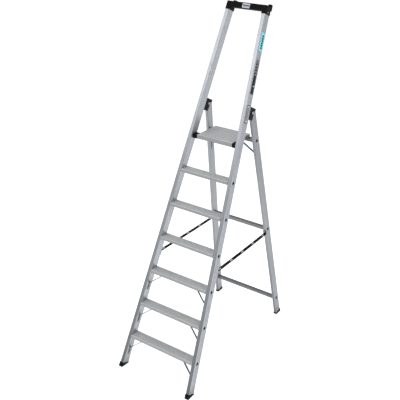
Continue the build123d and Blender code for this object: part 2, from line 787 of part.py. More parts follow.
for side, name in side_names.items():
    outer = deck_half - seat_gap
    with BuildPart() as platform_side:
        with BuildSketch(Plane.YZ.offset(side * (outer - side_thickness / 2))):
            with BuildLine():
                Polyline(
                    (side_front, side_top),
                    (side_front, side_bottom),
                    (hook_rear - hook_thickness - hook_slope, side_bottom),
                    (hook_rear - hook_thickness, hook_bottom),
                    (side_rear, hook_bottom),
                    (side_rear, side_top),
                    close=True,
                )
            make_face()
        extrude(amount=side_thickness / 2, both=True)
        add(rest_cut.part, mode=Mode.SUBTRACT)
        with BuildSketch(Plane(origin=(0, deck_pin_y, deck_pin_height), z_dir=across)):
            Circle(deck_pin_radius + running_gap)
        extrude(amount=foot_width, both=True, mode=Mode.SUBTRACT)
    save(platform_side, f"platform_side_{name}")
    with BuildPart() as bearing:
        with BuildSketch(Plane.YZ.offset(side * (deck_half + moving_gap))):
            with Locations((bearing_y, deck_pin_height)):
                RectangleRounded(bearing_depth, bearing_height, bearing_corner)
        extrude(amount=side * 2 * bearing_width)
        split(bisect_by=inner_face(side, seat_gap), keep=Keep.BOTTOM)
        with BuildSketch(Plane(origin=(0, deck_pin_y, deck_pin_height), z_dir=across)):
            Circle(deck_pin_radius + running_gap)
        extrude(amount=side * deck_pin_end, mode=Mode.SUBTRACT)
        for place in bearing_bolt_places:
            with BuildSketch(Plane(origin=(0, bearing_y + place, deck_pin_height), z_dir=across)):
                Circle(bearing_bolt_radius + running_gap)
            extrude(amount=side * foot_width, mode=Mode.SUBTRACT)
    save(bearing, f"platform_bearing_{name}")
    with BuildPart() as deck_pin:
        pin_start = deck_half - side_thickness - web_end_gap
        with BuildSketch(Plane(origin=(side * pin_start, deck_pin_y, deck_pin_height), z_dir=across * side)):
            Circle(deck_pin_radius)
        extrude(amount=deck_pin_end - seat_gap - pin_start)
    save(deck_pin, f"platform_pin_{name}")

with BuildPart() as bearing_bolts:
    for side in side_names:
        inner = front_half(bearing_along) - stile_width / 2 + stile_wall + 2 * lean_gap
        for place in bearing_bolt_places:
            seat = Vector(side * inner, bearing_y + place, deck_pin_height)
            with BuildSketch(Plane(origin=seat, z_dir=across * side)):
                Circle(bearing_bolt_head_radius)
            extrude(amount=bolt_head)
            with BuildSketch(Plane(origin=seat, z_dir=across * -side)):
                Circle(bearing_bolt_radius)
            extrude(amount=bearing_bolt_length)
save(bearing_bolts, "bearing_bolts")

# ---- Top bow: a sleeve over each stile, a bar between them and a lug behind each sleeve ----
bow_outer_width = stile_width + 2 * bow_wall
bow_outer_depth = stile_depth + 2 * bow_wall
bar_start = bow_top - bow_bar_height
with BuildPart() as bow:
    for side in side_names:
        with BuildSketch(stile_plane(side, bow_top - bow_sleeve)):
            RectangleRounded(bow_outer_width, bow_outer_depth, bow_corner)
        extrude(amount=bow_sleeve / cos(radians(front_lean)))
        lug_along = bow_top + bow_lug_over - bow_lug_length
        with BuildSketch(
            Plane(
                origin=stile_face(side, lug_along, stile_depth + bow_wall - bow_web, 0),
                x_dir=out_direction(side, front_up, front_lean),
                z_dir=axis_direction(side, front_up, front_lean),
            )
        ):
            with Locations((0, side * (bow_lug_depth + bow_web) / 2)):
                RectangleRounded(bow_lug_width, bow_lug_depth + bow_web, bow_corner)
        extrude(amount=bow_lug_length)
    bar_half = front_half(bow_top)
    bar_plane = Plane(
        origin=front_point(0, bow_top - bow_bar_height / 2, -bow_wall), x_dir=across, z_dir=front_back
    )
    with BuildSketch(bar_plane):
        Rectangle(2 * bar_half, bow_bar_height)
    extrude(amount=bow_bar_depth)
    with BuildSketch(bar_plane.offset(bow_web)):
        Rectangle(2 * (bar_half - bow_outer_width / 2 - bow_wall), bow_bar_height - 2 * bow_wall)
    extrude(amount=bow_bar_depth, mode=Mode.SUBTRACT)
    for side in side_names:
        with BuildSketch(stile_plane(side, bow_top - bow_sleeve)):
            Rectangle(stile_width + 2 * seat_gap, stile_depth + 2 * seat_gap)
        extrude(amount=(bow_sleeve - bow_wall) / cos(radians(front_lean)), mode=Mode.SUBTRACT)
        add(make_shanks(bow_screw_plan[side], hole_gap), mode=Mode.SUBTRACT)
save(bow, "top_bow")

save(make_rivets(bow_screw_plan, rivet_head_radius), "bow_screws")

# ---- Straps: flat webbing from the back of a stile to the front of a leg ----
strap_half = strap_thickness / 2
for side, name in side_names.items():
    low_along = front_along(strap_level, stile_depth)
    high_along = rear_along(strap_level, -leg_depth / 2)
    stile_off = stile_depth + moving_gap + strap_half
    leg_off = -leg_depth / 2 - moving_gap - strap_half
    start = front_point(side * front_half(low_along), low_along, stile_off)
    end = rear_point(side * rear_half(high_along), high_along, leg_off)
    with BuildPart() as strap:
        for first, last, flat in (
            (start - front_up * strap_tab, start + front_up * strap_half, across),
            (start, end, across),
            (end - rear_up * strap_half, end + rear_up * strap_tab, across),
        ):
            with BuildSketch(Plane(origin=first, x_dir=flat, z_dir=last - first)):
                Rectangle(strap_width, strap_thickness)
            extrude(amount=(last - first).length)
        for plan in (strap_front_plan, strap_rear_plan):
            add(make_shanks(plan[side], hole_gap), mode=Mode.SUBTRACT)
    save(strap, f"strap_{name}")

save(make_rivets(strap_front_plan, rivet_head_radius + washer_rivet_extra), "strap_rivets_front")
save(make_rivets(strap_rear_plan, rivet_head_radius + washer_rivet_extra), "strap_rivets_rear")

# ---- Stickers on the right stile and on the bow ----
for name, (length, above, depth) in label_places.items():
    along = front_along(platform_height + above, stile_depth / 2)
    centre = stile_face(1, along, stile_depth / 2, stile_width / 2)
    out = out_direction(1, front_up, front_lean)
    with BuildPart() as label:
        with BuildSketch(Plane(origin=centre, x_dir=axis_direction(1, front_up, front_lean), z_dir=out)):
            RectangleRounded(length, depth, label_corner)
        extrude(amount=label_thickness)
    save(label, name)

with BuildPart() as bow_label:
    plate = Plane(
        origin=front_point(0, bow_top - bow_bar_height / 2, -bow_wall), x_dir=across, z_dir=front_back * -1
    )
    with BuildSketch(plate):
        RectangleRounded(*bow_label_size, label_corner)
    extrude(amount=label_thickness)
save(bow_label, "bow_label")
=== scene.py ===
import json
import math

import bmesh
import bpy
import numpy as np
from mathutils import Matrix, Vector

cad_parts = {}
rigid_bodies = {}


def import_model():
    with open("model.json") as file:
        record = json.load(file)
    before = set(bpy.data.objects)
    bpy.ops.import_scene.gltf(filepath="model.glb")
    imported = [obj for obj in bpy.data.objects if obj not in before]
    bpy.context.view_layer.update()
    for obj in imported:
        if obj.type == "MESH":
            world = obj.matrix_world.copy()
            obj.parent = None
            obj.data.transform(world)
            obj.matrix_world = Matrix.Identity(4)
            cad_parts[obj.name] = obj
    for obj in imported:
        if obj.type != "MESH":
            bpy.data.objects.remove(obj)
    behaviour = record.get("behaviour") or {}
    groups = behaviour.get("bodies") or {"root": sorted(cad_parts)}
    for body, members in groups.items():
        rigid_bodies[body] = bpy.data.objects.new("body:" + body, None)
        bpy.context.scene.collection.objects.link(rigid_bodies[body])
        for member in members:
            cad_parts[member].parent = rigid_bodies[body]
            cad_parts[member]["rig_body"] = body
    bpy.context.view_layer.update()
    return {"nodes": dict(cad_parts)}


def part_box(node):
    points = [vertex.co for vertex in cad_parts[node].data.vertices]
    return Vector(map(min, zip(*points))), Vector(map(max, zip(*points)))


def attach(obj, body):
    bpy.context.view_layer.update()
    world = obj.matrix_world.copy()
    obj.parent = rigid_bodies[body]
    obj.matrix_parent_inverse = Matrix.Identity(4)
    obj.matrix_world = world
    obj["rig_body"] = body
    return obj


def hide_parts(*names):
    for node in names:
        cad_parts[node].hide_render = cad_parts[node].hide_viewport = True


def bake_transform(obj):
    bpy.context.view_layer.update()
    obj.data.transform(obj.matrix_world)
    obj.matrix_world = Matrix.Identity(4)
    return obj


# Looks for a folding platform ladder: metres, z up, the climber's side faces -y.
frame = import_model()

slopes = {
    "front": math.radians(24.45),  # stiles, from the vertical
    "rear": math.radians(10.47),  # rear legs, from the vertical
    "lean": math.radians(3.35),  # both, towards the middle
    "treadRise": 0.235,
}
sides = {"left": -1, "right": 1}


def uprightAxes(slope, lean):
    # three unit directions for an upright on the right: up along it, square to its front face, and outwards
    up = np.array([0, math.sin(slope), math.cos(slope)])
    back = np.array([0, math.cos(slope), -math.sin(slope)])
    out = np.array([1.0, 0, 0])
    along = up * math.cos(lean) - out * math.sin(lean)
    outwards = out * math.cos(lean) + up * math.sin(lean)
    return along, back, outwards


stileAxes = uprightAxes(slopes["front"], slopes["lean"])
legAxes = uprightAxes(-slopes["rear"], slopes["lean"])
legUp = np.array([0, -math.sin(slopes["rear"]), math.cos(slopes["rear"])])
barAxes = (np.array([1.0, 0, 0]), legAxes[1], legUp)
treadAxes = (np.array([1.0, 0, 0]), np.array([0, 1.0, 0]), np.array([0, 0, 1.0]))


# a small language for materials
class Wire:
    # one output socket of a material; arithmetic on it adds Math nodes
    def __init__(self, paint, socket):
        self.paint = paint
        self.socket = socket

    def math(self, operation, *values):
        return self.paint.node("ShaderNodeMath", {"operation": operation}, dict(enumerate((self, *values))))

    def __add__(self, value):
        return self.math("ADD", value)

    def __sub__(self, value):
        return self.math("SUBTRACT", value)

    def __rsub__(self, value):
        return self.math("MULTIPLY_ADD", -1.0, value)

    def __mul__(self, value):
        return self.math("MULTIPLY", value)

    def __truediv__(self, value):
        return self.math("DIVIDE", value)

    def __abs__(self):
        return self.math("ABSOLUTE")

    __radd__ = __add__
    __rmul__ = __mul__


class Paint:
    def __init__(self, name):
        self.material = bpy.data.materials.new(name)
        self.material.use_nodes = True
        self.tree = self.material.node_tree
        self.tree.nodes.clear()

    def node(self, kind, settings=None, sockets=None, output=0):
        # a node of this type: settings first, then socket values or links, then one of its outputs
        made = self.tree.nodes.new(kind)
        for key, value in (settings or {}).items():
            setattr(made, key, value)
        for key, value in (sockets or {}).items():
            if isinstance(value, Wire):
                self.tree.links.new(value.socket, made.inputs[key])
            else:
                made.inputs[key].default_value = value
        return Wire(self, made.outputs[output]) if made.outputs else made

    def place(self):
        return self.node("ShaderNodeTexCoord", output="Object")

    def foldedPlace(self):
        # object coordinates with the left half folded on to the right: (|x|, y, z)
        here = self.place()
        positive = self.vector("ABSOLUTE", here)
        side = self.vector("MULTIPLY", positive, (1, 0, 0))
        rest = self.vector("MULTIPLY", here, (0, 1, 1))
        return self.vector("ADD", side, rest)

    def vector(self, operation, *values, output="Vector"):
        return self.node("ShaderNodeVectorMath", {"operation": operation}, dict(enumerate(values)), output)

    def dot(self, here, direction):
        return self.vector("DOT_PRODUCT", here, tuple(direction), output="Value")

    def joined(self, x, y, z):
        return self.node("ShaderNodeCombineXYZ", None, {"X": x, "Y": y, "Z": z})

    def cells(self, here, scale, feature="F1"):
        sockets = {"Vector": here, "Scale": scale}
        return self.node("ShaderNodeTexVoronoi", {"feature": feature}, sockets, "Distance")

    def noise(self, here, scale, detail=3.0, roughness=0.5):
        sockets = {"Vector": here, "Scale": scale, "Detail": detail, "Roughness": roughness}
        return self.node("ShaderNodeTexNoise", None, sockets, "Fac")

    def rise(self, value, low, high):
        # 0 below low, 1 above high, and a smooth step between them
        sockets = {"Value": value, "From Min": low, "From Max": high}
        return self.node("ShaderNodeMapRange", {"interpolation_type": "SMOOTHSTEP"}, sockets)

    def mix(self, factor, first, second):
        sockets = {0: factor, 6: colour(first), 7: colour(second)}
        return self.node("ShaderNodeMix", {"data_type": "RGBA"}, sockets, 2)

    def bump(self, height, distance, strength):
        sockets = {"Height": height, "Distance": distance, "Strength": strength}
        return self.node("ShaderNodeBump", None, sockets)

    def finish(self, **sockets):
        # socket names are written without spaces: baseColor stands for Base Color
        named = {}
        for key, value in sockets.items():
            words = "".join(" " + letter if letter.isupper() else letter for letter in key).title()
            named[words.replace("Ior", "IOR")] = value
        shader = self.node("ShaderNodeBsdfPrincipled", None, named)
        self.node("ShaderNodeOutputMaterial", None, {"Surface": shader})
        return self.material


def colour(value):
    return value if isinstance(value, Wire) else (*value, 1.0)


# bare aluminium profiles
extrusion = {
    "bright": (0.46, 0.482, 0.515),
    "dull": (0.375, 0.395, 0.425),
    "grime": (0.24, 0.235, 0.23),
    "metallic": 0.6,
    "roughness": 0.42,
    "lineWidth": 0.0011,  # die lines drawn along the profile
    "lineLength": 0.6,
    "footGrime": 0.16,  # height above the floor where the dirt has gone
    # painted shade on the face towards the climber: its colour, and the height where it fades out
    "frontShade": (0.13, 0.145, 0.165),
    "frontShadeTop": 1.15,
    "scratch": (0.72, 0.73, 0.75),
    "shutIn": 0.03,  # walls nearer than this give a surface painted shade
    # the painted shade's colour inside the tubes and in deep corners
    "hollowShadeTone": (0.02, 0.021, 0.024),
}


def extrusionFinish(name, axes, look, jointGrime=0.0):
    # long die lines, cloudy oxide, a few scratches, dirt near the floor and the tread joints, and painted
    # shade on the face towards the climber and in shut-in places
    paint = Paint(name)
    here = paint.foldedPlace()
    along, back, out = (paint.dot(here, axis) for axis in axes)
    lineScale = 1 / look["lineWidth"]
    linePlace = paint.joined(along / look["lineLength"], back * lineScale, out * lineScale)
    lines = paint.noise(linePlace, 1.0, 2.0)
    brushed = paint.noise(paint.joined(along * 9.0, back * 3200.0, out * 3200.0), 1.0, 1.0)
    cloud = paint.noise(paint.joined(along * 5.0, back * 16.0, out * 16.0), 1.0, 5.0, 0.6)
    patches = paint.rise(paint.noise(here, 34.0, 6.0, 0.65), 0.56, 0.74)
    drift = paint.noise(here, 11.0, 2.0)
    scratchPlace = paint.joined(along * 7.0 + back * 60.0, back * 46.0 - along * 2.0, out * 30.0)
    edges = paint.cells(scratchPlace, 3.0, "DISTANCE_TO_EDGE")
    scratches = (1 - paint.rise(edges, 0.0, 0.018)) * paint.rise(drift, 0.56, 0.66)
    height = paint.dot(here, (0, 0, 1))
    low = 1 - paint.rise(height + paint.noise(here, 24.0, 4.0) * 0.1, 0.06, look["footGrime"])
    # how near this height is to a tread's surface, once per rise
    rung = abs((height / slopes["treadRise"] + 0.53).math("FRACT") - 0.5)
    joint = (1 - paint.rise(rung, 0.02, 0.09)) * paint.rise(cloud, 0.4, 0.7)
    dirt = (low * 0.55 + joint * jointGrime).math("MINIMUM", 0.8)
    tone = lines * 0.45 + cloud * 0.55
    metal = paint.mix(paint.rise(tone, 0.3, 0.7), look["dull"], look["bright"])
    metal = paint.mix(patches * 0.22, metal, look["dull"])
    metal = paint.mix(scratches * 0.5, metal, look["scratch"])
    metal = paint.mix(dirt, metal, look["grime"])
    # painted shade on the face towards the climber, darkest at the floor and gone by the height where it
    # ends
    facing = paint.dot(paint.node("ShaderNodeNewGeometry", output="True Normal"), -axes[1])
    frontShade = paint.rise(facing, 0.6, 0.9) * (1 - paint.rise(height + cloud * 0.2, 0.0, look["frontShadeTop"]))
    metal = paint.mix(frontShade * 0.75, metal, look["frontShade"])
    # painted shade where the surface is shut in: inside the tubes and deep in corners
    openness = paint.node("ShaderNodeAmbientOcclusion", {"samples": 6}, {"Distance": look["shutIn"]}, "AO")
    metal = paint.mix((1 - paint.rise(openness, 0.1, 0.5)) * 0.93, metal, look["hollowShadeTone"])
    rough = paint.rise(lines * 0.5 + patches * 0.35 + dirt, 0.1, 1.2) * 0.3 + (look["roughness"] - 0.08)
    relief = lines * 0.5 + brushed * 0.3 - scratches * 0.35 + patches * 0.08
    normal = paint.bump(relief, 0.00045, 0.45)
    return paint.finish(baseColor=metal, metallic=look["metallic"], roughness=rough, normal=normal)


treadLook = {
    "worn": (0.88, 0.895, 0.905),
    "fresh": (0.78, 0.795, 0.81),
    "groove": (0.38, 0.385, 0.39),
    "nose": (0.22, 0.225, 0.23),  # painted shade on the lips and undersides, every face below the tread's top
    "polished": (0.86, 0.865, 0.87),
    "scuff": (0.33, 0.325, 0.32),
    "grooveDepth": 0.0009,
    "grooveDirt": 0.00045,
    "metallic": 0.5,
    "roughness": 0.46,
}


def treadFinish(name, look):
    # ribs polished by shoes towards the middle, grey dust held in the grooves, brushed marks front to back
    paint = Paint(name)
    here = paint.foldedPlace()
    x, y, z = (paint.dot(here, axis) for axis in treadAxes)
    levels = z / slopes["treadRise"]
    # how far below the next tread's surface
    depth = levels.math("CEIL") * slopes["treadRise"] - z
    groove = paint.rise(depth, look["grooveDirt"], look["grooveDepth"])
    groove = groove * (1 - paint.rise(depth, 0.0013, 0.0016))
    upper = 1 - paint.rise(depth, 0.0001, 0.0004)
    tracks = paint.noise(paint.joined(x * 28.0, y * 9.0, z * 9.0), 1.0, 4.0, 0.6)
    lines = paint.noise(paint.joined(x * 1.5, y * 1100.0, z * 1100.0), 1.0, 2.0)
    fine = paint.noise(paint.joined(x * 1900.0, y * 40.0, z * 40.0), 1.0, 1.0)
    middle = 1 - paint.rise(x + (tracks - 0.5) * 0.16, 0.05, 0.2)
    wear = upper * middle * paint.rise(tracks, 0.38, 0.62)
    cloud = paint.noise(here, 19.0, 5.0, 0.6)
    metal = paint.mix(paint.rise(lines * 0.4 + cloud * 0.6, 0.32, 0.68), look["fresh"], look["worn"])
    metal = paint.mix(wear * 0.6, metal, look["polished"])
    # painted shade on the faces below the tread's top: lips and undersides
    metal = paint.mix((1 - upper) * (1 - groove) * 0.85, metal, look["nose"])
    dust = groove * paint.rise(cloud, 0.2, 0.6)
    metal = paint.mix(dust * 0.75, metal, look["groove"])
    smears = paint.noise(paint.joined(x * 60.0, y * 16.0, z * 16.0), 1.0, 6.0, 0.7)
    scuff = paint.rise(smears, 0.6, 0.72) * upper
    metal = paint.mix(scuff * 0.35, metal, look["scuff"])
    marks = dust + lines * 0.3 + scuff * 0.6 - wear * 0.4
    rough = paint.rise(marks, -0.3, 1.3) * 0.4 + (look["roughness"] - 0.16)
    normal = paint.bump(lines * 0.4 + fine * wear * 0.5 + scuff * 0.2, 0.0004, 0.45)
    return paint.finish(baseColor=metal, metallic=look["metallic"], roughness=rough, normal=normal)


steelLook = {"base": (0.62, 0.63, 0.64), "dark": (0.40, 0.41, 0.42), "roughness": 0.34, "metallic": 0.9}


def platedFinish(name, look):
    # zinc plate: faint crystal cells, turning marks and a little dullness
    paint = Paint(name)
    here = paint.place()
    cells = paint.cells(here, 420.0)
    cloud = paint.noise(here, 160.0, 4.0, 0.6)
    dull = paint.rise(cloud + cells * 0.3, 0.45, 0.85)
    metal = paint.mix(dull, look["base"], look["dark"])
    normal = paint.bump(cloud * 0.6 + cells * 0.4, 0.00012, 0.5)
    rough = dull * 0.25 + look["roughness"]
    return paint.finish(baseColor=metal, metallic=look["metallic"], roughness=rough, normal=normal)


coatedLook = {
    "base": (0.10, 0.106, 0.11),
    "light": (0.17, 0.176, 0.18),
    "chip": (0.46, 0.47, 0.46),
    "roughness": 0.45,
}
rearCoatedLook = {**coatedLook, "base": (0.12, 0.20, 0.26), "light": (0.2, 0.29, 0.35)}


def coatedFinish(name, look, axes):
    # coated strip: orange peel, rubbed streaks along it, small bright chips
    paint = Paint(name)
    here = paint.foldedPlace()
    along, back, out = (paint.dot(here, axis) for axis in axes)
    streaks = paint.noise(paint.joined(along * 14.0, back * 220.0, out * 60.0), 1.0, 4.0, 0.6)
    peel = paint.noise(here, 900.0, 2.0)
    chips = paint.rise(paint.noise(here, 120.0, 5.0, 0.7), 0.69, 0.73)
    paintColour = paint.mix(paint.rise(streaks, 0.35, 0.75), look["base"], look["light"])
    paintColour = paint.mix(chips * 0.8, paintColour, look["chip"])
    normal = paint.bump(peel * 0.5 - chips * 0.8, 0.00025, 0.5)
    rough = streaks * 0.2 + (look["roughness"] - 0.1) - chips * 0.1
    return paint.finish(baseColor=paintColour, metallic=chips * 0.7 + 0.15, roughness=rough, normal=normal)


blackMoulding = {
    "base": (0.0035, 0.0036, 0.0042), "scuff": (0.016, 0.016, 0.017), "dust": (0.03, 0.029, 0.028),
    "grain": 2400.0, "roughness": 0.48, "shine": 0.07,
}
greyMoulding = {
    "base": (0.15, 0.153, 0.158), "scuff": (0.24, 0.24, 0.245), "dust": (0.30, 0.29, 0.28),
    "grain": 2100.0, "roughness": 0.5, "shine": 0.4,
}
bootMoulding = {
    "base": (0.004, 0.0047, 0.0075), "scuff": (0.02, 0.02, 0.021), "dust": (0.04, 0.038, 0.036),
    "grain": 1500.0, "roughness": 0.62, "shine": 0.07,
}


def mouldedFinish(name, look, dusty=0.25, floorWear=0.0):
    # leathery moulding grain, scuffs, dust on what faces up, and wear near the floor
    paint = Paint(name)
    here = paint.place()
    grain = paint.cells(here, look["grain"], "SMOOTH_F1")
    soft = paint.noise(here, 900.0, 3.0)
    cloud = paint.noise(here, 26.0, 5.0, 0.6)
    scuffPlace = paint.vector("MULTIPLY", here, (90.0, 45.0, 240.0))
    scuffs = paint.rise(paint.noise(scuffPlace, 1.0, 6.0, 0.72), 0.62, 0.74) * paint.rise(cloud, 0.4, 0.6)
    facing = paint.dot(paint.node("ShaderNodeNewGeometry", output="True Normal"), (0, 0, 1))
    dust = paint.rise(facing, 0.35, 0.95) * paint.rise(cloud, 0.25, 0.8) * dusty
    height = paint.dot(here, (0, 0, 1))
    rubbed = (1 - paint.rise(height + cloud * 0.02, 0.008, 0.03)) * floorWear
    tone = paint.mix(paint.rise(cloud, 0.3, 0.7) * 0.5, look["base"], tuple(c * 1.7 for c in look["base"]))
    tone = paint.mix(scuffs * 0.4, tone, look["scuff"])
    tone = paint.mix((dust + rubbed).math("MINIMUM", 0.7), tone, look["dust"])
    rough = cloud * 0.14 + scuffs * 0.12 + dust * 0.5 + (look["roughness"] - 0.07)
    normal = paint.bump(grain * 0.6 + soft * 0.4 - scuffs * 0.5, 0.00022, 0.55)
    return paint.finish(
        baseColor=tone, metallic=0.0, roughness=rough, normal=normal, specularIorLevel=look["shine"]
    )


# stickers carry patterns on their own length and width
sticker = {
    "paper": (0.62, 0.65, 0.68),
    "paleBlue": (0.22, 0.80, 0.97),
    "deepBlue": (0.0, 0.018, 0.035),
    "ink": (0.006, 0.007, 0.012),
    "fadedInk": (0.20, 0.27, 0.36),
    "rubbed": (0.62, 0.63, 0.64),
    "bowPlate": (0.55, 0.60, 0.66),
    "bowInk": (0.01, 0.03, 0.10),
    "rowPitch": 0.0099,
}


def stickerPlace(paint, node):
    # distance from the sticker's centre, along the stile and square to it, in metres
    low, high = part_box(node)
    centred = paint.vector("SUBTRACT", paint.place(), tuple((low + high) / 2))
    return paint.dot(centred, stileAxes[0]), paint.dot(centred, stileAxes[1])


def printed(paint, tone, wornBy=0.35):
    # ink rubbed thin in specks, a satin film over it
    here = paint.place()
    rub = paint.rise(paint.noise(here, 220.0, 6.0, 0.7), 0.6, 0.72)
    tone = paint.mix(rub * wornBy, tone, sticker["rubbed"])
    film = paint.noise(here, 60.0, 3.0)
    normal = paint.bump(film, 0.0002, 0.3)
    return paint.finish(
        baseColor=tone, metallic=0.0, roughness=rub * 0.3 + 0.36, normal=normal, specularIorLevel=0.1
    )


def blockRow(paint, along, pitch, filled):
    # 1 over blocks that repeat along a line, each filling a share of the pitch
    return paint.rise((along / pitch).math("FRACT"), 1 - filled, 1 - filled + 0.04)


def blueSticker(name, node):
    paint = Paint(name)
    along, back = stickerPlace(paint, node)
    band = 1 - paint.rise(abs(back - 0.004), 0.0106, 0.011)
    blocks = blockRow(paint, along + 0.003, 0.0165, 0.8) * (1 - paint.rise(abs(along), 0.0505, 0.051))
    tone = paint.mix(band * blocks, sticker["paleBlue"], sticker["deepBlue"])
    return printed(paint, tone, 0.2)


def stripeSticker(name, node):
    paint = Paint(name)
    along, back = stickerPlace(paint, node)
    chevrons = blockRow(paint, along + abs(back) * 0.9, 0.021, 0.22) * paint.rise(along, 0.001, 0.002)
    inside = 1 - paint.rise(abs(back), 0.0140, 0.0144)
    fade = paint.rise(along, 0.085, 0.125)
    tone = paint.mix(fade * 0.7, sticker["ink"], sticker["fadedInk"])
    mark = (1 - paint.rise(abs(along + 0.066), 0.0035, 0.004)) * paint.rise(back, -0.002, -0.001)
    tone = paint.mix((chevrons + mark).math("MINIMUM", 1.0) * inside, tone, sticker["paper"])
    return printed(paint, tone, 0.08)


def boxSticker(name, node):
    paint = Paint(name)
    along, back = stickerPlace(paint, node)
    frameBand = paint.rise(abs(back), 0.0178, 0.0182) + paint.rise(abs(along), 0.0562, 0.0567)
    rows = blockRow(paint, back, sticker["rowPitch"], 0.6) * (1 - paint.rise(abs(back), 0.0148, 0.0151))
    row = (back / sticker["rowPitch"]).math("FLOOR")
    words = paint.rise(paint.noise(paint.joined(along * 120.0, row * 7.0, 0.0), 1.0, 1.0), 0.33, 0.36)
    rows = rows * words * (1 - paint.rise(abs(along), 0.049, 0.0495))
    tone = paint.mix((frameBand + rows).math("MINIMUM", 1.0), sticker["paper"], sticker["ink"])
    return printed(paint, tone, 0.1)


def bowSticker(name, node):
    # a pale plate with one row of dark blue blocks, across the bar
    paint = Paint(name)
    low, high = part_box(node)
    centred = paint.vector("SUBTRACT", paint.place(), tuple((low + high) / 2))
    x = paint.dot(centred, (1, 0, 0))
    up = paint.dot(centred, stileAxes[0] + np.array([math.sin(slopes["lean"]), 0, 0]))
    row = (1 - paint.rise(abs(up), 0.0058, 0.0062)) * (1 - paint.rise(abs(x), 0.0265, 0.027))
    blocks = row * blockRow(paint, x, 0.009, 0.8)
    tone = paint.mix(blocks, sticker["bowPlate"], sticker["bowInk"])
    return printed(paint, tone, 0.2)


print("materials: metals, mouldings and stickers")

strap = {
    "width": 0.028,
    "thickness": 0.0024,
    "tab": 0.030,
    "bend": 0.004,  # how far from each corner the bend starts
    "sag": 0.003,
    "ribs": 5,
    "ribDepth": 0.00012,
    "dashPitch": 0.150,
    "dash": 0.028,
    "weavePitch": 0.0016,
}
webbing = {
    "yarn": (0.004, 0.004, 0.005),
    "highYarn": (0.014, 0.0145, 0.016),
    "dash": (0.62, 0.63, 0.64),
    "thread": (0.40, 0.41, 0.42),
    "roughness": 0.82,
}


def strapPath(low, high, side):
    # corner points: up the stile's rear face, level to the leg, and up the leg's front face
    stileUp = np.array([0, math.sin(slopes["front"]), math.cos(slopes["front"])])
    outer, inner = (high.x, low.x) if side > 0 else (low.x, high.x)
    halfWidth = side * strap["width"] / 2
    half = strap["thickness"] / 2
    behind = np.array([0, math.cos(slopes["front"]), math.sin(slopes["front"])]) * half
    tabEnd = np.array([outer - halfWidth, low.y, low.z]) + behind
    frontBend = tabEnd + stileUp * strap["tab"]
    rearBend = np.array([inner + halfWidth, high.y - half * math.cos(slopes["rear"]), frontBend[2]])
    return np.array([tabEnd, frontBend, rearBend, rearBend + legUp * strap["tab"]])


def roundedPath(corners, bend, arcPoints, runPoints):
    # straight runs joined by curves: at each corner b, (1-t)^2 a + 2t(1-t) b + t^2 c,
    # where a and c lie one bend before and after b
    pieces = []
    start = corners[0]
    for before, corner, after in zip(corners[:-2], corners[1:-1], corners[2:]):
        a = corner + (before - corner) / np.linalg.norm(before - corner) * bend
        c = corner + (after - corner) / np.linalg.norm(after - corner) * bend
        share = np.linspace(0, 1, runPoints, endpoint=False)[:, None]
        pieces.append(start + (a - start) * share)
        t = np.linspace(0, 1, arcPoints, endpoint=False)[:, None]
        pieces.append((1 - t) ** 2 * a + 2 * t * (1 - t) * corner + t**2 * c)
        start = c
    share = np.linspace(0, 1, runPoints)[:, None]
    pieces.append(start + (corners[-1] - start) * share)
    return np.vstack(pieces)


def ribbon(name, path, profile, sideways):
    # the closed profile (across, through) carried along the path: each ring is path + across*s + through*n,
    # where s points sideways and n = s x tangent; both ends are closed by a face
    count, ring = len(path), len(profile)
    tangent = np.gradient(path, axis=0)
    tangent /= np.linalg.norm(tangent, axis=1)[:, None]
    s = sideways - tangent * (tangent @ sideways)[:, None]
    s /= np.linalg.norm(s, axis=1)[:, None]
    n = np.cross(s, tangent)
    points = path[:, None] + s[:, None] * profile[None, :, :1] + n[:, None] * profile[None, :, 1:]
    row, column = np.meshgrid(np.arange(count - 1), np.arange(ring), indexing="ij")
    following = (column + 1) % ring
    here, above = row * ring, (row + 1) * ring
    # this order turns every face outwards
    quads = np.stack([here + column, above + column, above + following, here + following], -1)
    caps = [list(range(ring)), [(count - 1) * ring + i for i in range(ring)][::-1]]
    mesh = bpy.data.meshes.new(name)
    mesh.from_pydata(points.reshape(-1, 3).tolist(), [], quads.reshape(-1, 4).tolist() + caps)
    # the weave's own map: across the strap and along it, in metres
    length = np.concatenate([[0], np.cumsum(np.linalg.norm(np.diff(path, axis=0), axis=1))])
    layer = mesh.uv_layers.new(name="weave")
    index = np.zeros(len(mesh.loops), int)
    mesh.loops.foreach_get("vertex_index", index)
    uv = np.stack([profile[index % ring, 0], length[index // ring]], -1)
    layer.data.foreach_set("uv", uv.astype(np.float32).ravel())
    mesh.polygons.foreach_set("use_smooth", np.ones(len(mesh.polygons), bool))
    piece = bpy.data.objects.new(name, mesh)
    bpy.context.scene.collection.objects.link(piece)
    return piece


def webbingProfile(points):
    # a flat loop, |x/a|^6 + |z/b|^2 = 1, whose faces carry shallow cosine ribs
    angle = np.linspace(0, 2 * np.pi, points, endpoint=False)
    x = np.sign(np.cos(angle)) * np.abs(np.cos(angle)) ** (1 / 3) * strap["width"] / 2
    z = np.sin(angle) * strap["thickness"] / 2
    ribs = np.cos(x / strap["width"] * 2 * np.pi * strap["ribs"]) * strap["ribDepth"]
    return np.stack([x, z - np.sign(z) * (strap["ribDepth"] - ribs)], -1)


